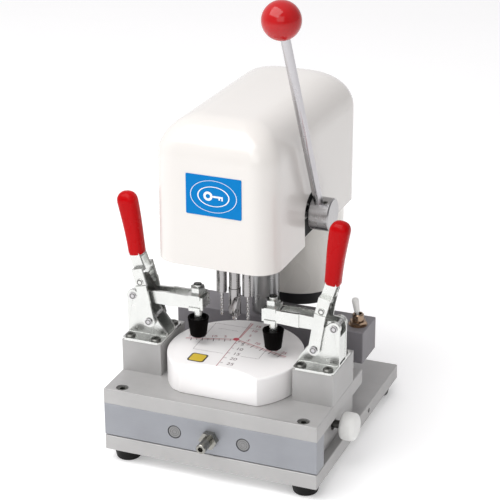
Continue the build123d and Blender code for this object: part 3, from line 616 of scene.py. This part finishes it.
def print_line(name, a, b, width, ink, lift=0.0):
    a, b = Vector((*a, 0)), Vector((*b, 0))
    side = (b - a).cross(Vector((0, 0, 1))).normalized() * width / 2
    corners = [a + side, b + side, b - side, a - side]
    verts = [V(c.x, c.y, PRINT_Z + lift) for c in corners]
    piece(name, verts, [(0, 1, 2, 3)], "carriage", ink)


def print_number(name, text, x, y, size, ink, angle=0.0):
    curve = bpy.data.curves.new(name, "FONT")
    curve.body = text
    curve.size = size * MM
    curve.align_x = "CENTER"
    curve.align_y = "CENTER"
    holder = bpy.data.objects.new(name + "_curve", curve)
    bpy.context.scene.collection.objects.link(holder)
    bpy.context.view_layer.update()
    mesh = bpy.data.meshes.new_from_object(holder.evaluated_get(bpy.context.evaluated_depsgraph_get()))
    bpy.data.objects.remove(holder)
    mesh.transform(Matrix.Translation(V(x, y, PRINT_Z + 0.02)) @ Matrix.Rotation(radians(angle), 4, "Z"))
    mesh.materials.clear()
    mesh.materials.append(PRINTS[ink])
    mesh.name = name
    obj = bpy.data.objects.new(name, mesh)
    bpy.context.scene.collection.objects.link(obj)
    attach(obj, "carriage")


def printed_scale():
    """A scale towards the operator and one arm to each side, all starting at the red dot."""
    print_line("scale_centre", (-4.0, 30.5), (SCALE_X, 131.0), 0.6, "print_red")
    print_line("scale_along", (SCALE_X + 2.2, 95), (SCALE_X + 2.2, 130), 1.6, "print_pink")
    box = ((-39.3, 56.6, -41, 118, "left"), (28.3, 58.8, 27, 120, "right"),
           (-39.3, 56.6, -8.5, 57.6, "front_left"), (9.6, 58.2, 28.3, 58.8, "front_right"),
           (-41, 118, 27, 120, "rear"), (-34, 108, -13, 108.5, "rear_in"))
    for x0, y0, x1, y1, name in box:
        print_line("scale_box_" + name, (x0, y0), (x1, y1), 0.32, "print_dark", 0.01)
    for k in range(1, 6):
        y = SCALE_Y - STEP * k + 1.0
        x = SCALE_X + 0.8 * k
        print_number("number_front_%d" % k, str(5 * k), SCALE_X + 9.0 + 1.2 * k, y, 7.4, "print_dark")
        print_line("tick_front_%d" % k, (x + 0.5, y), (x + 3.6, y), 0.6, "print_dark", 0.02)
        if k < 4:
            print_number("number_rear_%d" % k, str(5 * k), SCALE_X + 10, SCALE_Y + STEP * k, 6.0, "print_red")
    for side, label_side in ((-1, "left"), (1, "right")):
        lean = radians(17)
        dx, dy = side * cos(lean), -sin(lean)
        start = Vector((SCALE_X, SCALE_Y - 1.5))

        def arm(t, off):
            return start.x + dx * t + side * -dy * off, start.y + dy * t + abs(dx) * off

        reach = 62 if side > 0 else 50
        print_line("scale_arm_" + label_side, arm(3, 0), arm(reach, 0), 1.5, "print_pink")
        print_line("scale_rule_" + label_side, arm(3, -2.4), arm(reach, -2.4), 0.4, "print_red", 0.01)
        for k in range(1, 6 if side > 0 else 5):
            t = STEP * k * 1.02
            print_line("tick_%s_%d" % (label_side, k), arm(t, -5.6), arm(t, 0.6), 0.8, "print_dark", 0.02)
            near = t - STEP / 2
            print_line("tick_small_%s_%d" % (label_side, k), arm(near, -4.2), arm(near, 0.2), 0.5,
                       "print_dark", 0.02)
            x, y = arm(t, 5.2)
            print_number("number_%s_%d" % (label_side, k), str(5 * k), x, y, 6.2, "print_red", -side * 17)
    dot = [(3.1 * cos(2 * pi * k / 40), 3.1 * sin(2 * pi * k / 40)) for k in range(40)]
    origin = Matrix.Translation(V(SCALE_X, SCALE_Y - 1.5, TABLE_Z1 + 0.03))
    slab("scale_origin_dot", dot, 0.0, 0.12, origin, "carriage", "print_bright")


printed_scale()


def sticker():
    """A blank yellow sticker with a dark rim near the table's front left."""
    place = Matrix.Translation(V(-27.5, 40.5, TABLE_Z1))
    layers = (("sticker_rim", 0.0, "dark_marks_and_gap_shade", 0.02), ("sticker_field", 1.5, "sticker_yellow", 0.10))
    for name, grow, ink, low in layers:
        outline = []
        half, r = 8.6 - grow, 3.0 - grow * 0.6
        for cx, cy, start in ((1, 1, 0), (-1, 1, 90), (-1, -1, 180), (1, -1, 270)):
            for k in range(7):
                a = radians(start + 15 * k)
                outline.append((cx * (half - r) + r * cos(a), cy * (half - r) + r * sin(a)))
        slab(name, outline, low, low + 0.08, place, "carriage", ink)


sticker()


# ---- red grips on the clamp handles -------------------------------------------------
# A clamp is measured in u towards the table, v to the rear and w up, from the top
# of its end block.
CLAMP_Y, CLAMP_Z, CLAMP_MID = 70.0, 99.1, 89.2
HANDLE_U, HANDLE_W = 3.5, 18.0      # the handle's pivot
LINK_U, LINK_W = -5.5, 58.0         # the pin between handle and link
SCREW_U = 50.0                      # the clamp's screw, which carries the rubber tip
PIN_HEAD_R = 3.6


def clamp_point(side, u, v, w):
    return V(side * (CLAMP_MID - u), CLAMP_Y + v, CLAMP_Z + w)


def handle_point(side, u, v, w):
    """The right handle stands three degrees further in than the left one."""
    a = radians(3.0) if side > 0 else 0.0
    du, dw = u - HANDLE_U, w - HANDLE_W
    return clamp_point(side, HANDLE_U + du * cos(a) + dw * sin(a), v, HANDLE_W - du * sin(a) + dw * cos(a))


def grip(side, name):
    foot, tip = Vector((-13.5, 83.0)), Vector((-24.4, 146.0))
    along = (tip - foot).normalized()
    across = Vector((along.y, -along.x))
    length = (tip - foot).length
    rows = [(0.4, 0.86), (0.0, 0.95), (1.0, 1.0)] + [(1 + (length - 11) * k / 14, 1.0) for k in range(1, 15)]
    for k in range(1, 10):
        bulge = sin(pi / 2 * k / 9)
        rows.append((length - 10 + 10 * bulge, math.sqrt(max(0.0, 1 - bulge ** 2)) ** 0.85))
    rings = []
    for t, shrink in rows:
        grow = smooth(t / length)
        wide, deep = (7.7 + 2.3 * grow) * shrink, (8.4 + 0.1 * grow) * shrink
        centre = foot + along * t + across * 0.9 * sin(pi * t / length)
        ring = []
        for k in range(48):
            a = 2 * pi * k / 48
            cu = math.copysign(abs(cos(a)) ** 0.72, cos(a)) * wide
            cv = math.copysign(abs(sin(a)) ** 0.72, sin(a)) * deep
            point = centre + across * cu
            ring.append(handle_point(side, point.x, cv, point.y))
        rings.append(ring)
    verts, faces = skin(rings)
    piece("grip_skin_" + name, verts, faces, "handle_" + name, "grip_red", "grip_" + name, 50)


def rivet(name, side, u, w, reach, r, body):
    """The rounded head of a pin on the clamp's front side and on its rear side."""
    profile = [(r, 0), (r, 0.7, 0.4), (r * 0.55, 1.0), (r * 0.5, 0.55, 0.2), (0.01, 0.5)]
    for sign, face in ((-1, "front"), (1, "rear")):
        centre = Matrix.Translation(handle_point(side, u, sign * reach, w))
        place = centre @ Matrix.Rotation(sign * -pi / 2, 4, "X")
        lathe("%s_%s" % (name, face), profile, place, body, "zinc", segments=32)


def pin_ring(name, centre, r, body):
    """A flat dark ring round the head of a pin, on the clamp's front side: painted shade of the turned groove
    there.
    """
    place = Matrix.Translation(centre) @ Matrix.Rotation(pi / 2, 4, "X")
    inner, outer, height = r * 0.52, r * 0.80, 0.10
    profile = [(inner, 0.0), (inner, height, 0.03), (outer, height, 0.03), (outer, 0.0)]
    lathe(name + "_groove_shade", profile, place, body, "dark_screw", segments=32, hollow=True)


for side, name in ((-1, "left"), (1, "right")):
    grip(side, name)
    rivet("link_pin_" + name, side, LINK_U, LINK_W, 13.2, PIN_HEAD_R, "handle_" + name)
    pin_ring("link_pin_" + name, handle_point(side, LINK_U, -14.2, LINK_W), PIN_HEAD_R, "handle_" + name)
    pin_ring("arm_pin_" + name, clamp_point(side, -15.0, -11.6, 41.0), PIN_HEAD_R, "carriage")
    pin_ring("handle_pin_" + name, clamp_point(side, HANDLE_U, -16.4, HANDLE_W), PIN_HEAD_R, "carriage")
    tip = Matrix.Translation(clamp_point(side, SCREW_U, 0, 5.0))
    lathe("rubber_cone_" + name,
          [(0.01, 0.5), (7.0, 0.0, 1.2), (8.1, 1.6), (10.3, 18.6), (10.6, 20.0, 0.8), (8.4, 20.0, 0.8),
           (7.8, 17.6, 0.6), (4.2, 17.2)],
          tip, "arm_" + name, "tip_rubber", "rubber_tip_" + name)


def stud_thread(side, name):
    """The dark threaded end of the clamp's screw above its nut."""
    profile = [(4.0, 57.6)]
    for k in range(5):
        profile += [(4.05, 57.7 + 0.56 * k), (3.72, 57.98 + 0.56 * k)]
    profile += [(4.0, 60.4), (3.4, 60.55), (2.6, 60.56), (2.4, 60.3), (0.01, 60.3)]
    place = Matrix.Translation(clamp_point(side, SCREW_U, 0, 0))
    lathe("stud_thread_" + name, profile, place, "arm_" + name, "dark_screw", segments=48)


stud_thread(-1, "left")
stud_thread(1, "right")


# ---- knobs and lever ----------------------------------------------------------------
lathe("lock_knob_body",
      [(4.1, 0.6), (4.6, 0.0, 0.3), (10.0, 0.0, 1.0), (13.6, 1.6, 2.4), (14.0, 7.0, 1.0), (13.8, 13.8, 3.6),
       (9.6, 16.5, 2.6), (0.01, 16.3)],
      facing_x(109.5, 72.0, 33.0), "lock", "nylon_white", "lock_knob")


def lever_place(x):
    """A place on the feed shaft's axis whose Z runs along the lever's rod."""
    return Matrix.Translation(V(x, FEED_Y, FEED_Z)) @ Matrix.Rotation(radians(25.9), 4, "X")


BALL_R, BALL_REACH = 18.2, 249
ball_profile = [(4.7, 231.4), (6.4, 231.4, 0.3), (4.7, 233.6), (7.4, 234.0)]
for k in range(3, 33):
    a = -pi / 2 + pi * k / 32
    if sin(a) * BALL_R > -16.2:
        ball_profile.append((BALL_R * cos(a), BALL_REACH + BALL_R * sin(a)))
lathe("lever_ball_body", ball_profile, lever_place(57.0), "feed", "ball_red", "lever_ball", 96)

cap_place = Matrix.Translation(V(89.6, 176, 98)) @ Matrix.Rotation(radians(-10), 4, "Y")
lathe("switch_cap",
      [(1.6, -1.0), (1.6, 6.4), (2.5, 6.4, 0.3), (2.9, 8.0), (3.5, 17.0), (3.6, 20.2, 1.6), (2.0, 22.0, 1.2),
       (0.01, 22.0)],
      cap_place, "switch", "nylon_white", "switch_lever", 40)

# The set screw in the lever's hub.
lathe("hub_set_screw", [(2.45, 11.0), (2.45, 16.3, 0.2), (1.3, 16.3), (1.3, 14.6), (0.01, 14.6)],
      lever_place(64.0), "feed", "dark_screw", segments=24)


# ---- drill bits -----------------------------------------------------------------------
SPINDLE_Y = 93.0


def bit(name, x, r, tip_z, flute_top, top_z, pitch, depth, flutes, node):
    """A twist drill of radius r, fluted from its point at tip_z up to flute_top."""
    rings = []
    steps = int((top_z - tip_z) / 0.45)
    for k in range(steps + 1):
        z = tip_z + (top_z - tip_z) * k / steps
        cone = min(1.0, 0.04 + (z - tip_z) / (r * 1.1))
        fade = 1 - smooth((z - flute_top + 3) / 4)
        ring = []
        for n in range(36):
            a = 2 * pi * n / 36
            groove = max(0.0, cos(flutes * (a - 2 * pi * z / pitch))) ** 0.7
            rr = r * cone * (1 - depth * groove * fade)
            ring.append(V(x + rr * cos(a), SPINDLE_Y + rr * sin(a), z))
        rings.append(ring)
    verts, faces = skin(rings)
    return piece(name, verts, faces, "spindle_" + node.split("_")[1], "tool_steel", node, 55)


bit("bit_left", -23.7, 1.75, 118.0, 140.0, 164.0, 11.0, 0.5, 2, "cutter_left")
bit("bit_right", 3.7, 1.6, 117.2, 140.0, 164.0, 10.0, 0.5, 2, "cutter_right")
bit("bit_middle_pilot", -10.0, 2.6, 114.3, 130.0, 140.0, 12.0, 0.5, 2, "cutter_middle")


def middle_sleeve():
    """The middle tool's sleeve with one wide slanted flute."""
    foot, height, radius = 121.5, 29.0, 6.1
    rings = []
    for k in range(61):
        z = foot + height * k / 60
        fade = smooth((z - foot) / 1.0 + 0.2) * (1 - smooth((z - 140.0) / 3.0))
        edge = 1 - 0.16 * (1 - smooth((z - foot) / 1.4))
        ring = []
        for n in range(60):
            a = 2 * pi * n / 60
            middle = radians(-115) + (z - foot) / 22.0 * radians(95)
            gap = abs((a - middle + pi) % (2 * pi) - pi)
            groove = max(0.0, 1 - (gap / radians(46)) ** 4)
            rr = radius * edge * (1 - 0.52 * groove * fade)
            ring.append(V(HEAD_X + rr * cos(a), SPINDLE_Y + rr * sin(a), z))
        rings.append(ring)
    verts, faces = skin(rings)
    piece("middle_sleeve", verts, faces, "spindle_middle", "spindle_steel", None, 45)


middle_sleeve()


# ---- small marks on the carriage ----------------------------------------------------------
def front_ring(name, place, inner, outer, low, high):
    """A thin dark ring on the front bar's face: round a guide rod's end it is painted shade of the gap
    between rod and bar, on the rod's end a turning mark.
    """
    profile = [(outer, low), (outer, high), (inner, high), (inner, low)]
    lathe(name, profile, place, "carriage", "dark_marks_and_gap_shade", segments=64, hollow=True)


for side, name in ((-1, "left"), (1, "right")):
    rod_end = facing_front(side * 35.5, 0.0, 33.0)
    # Painted shade of the gap round the rod's end.
    front_ring("rod_gap_shade_" + name, rod_end, 6.35, 7.0, -0.02, 0.05)
    for r in (2.2, 4.2):
        front_ring("rod_mark_%s_%d" % (name, r * 10), rod_end, r - 0.12, r + 0.12, -0.21, -0.17)
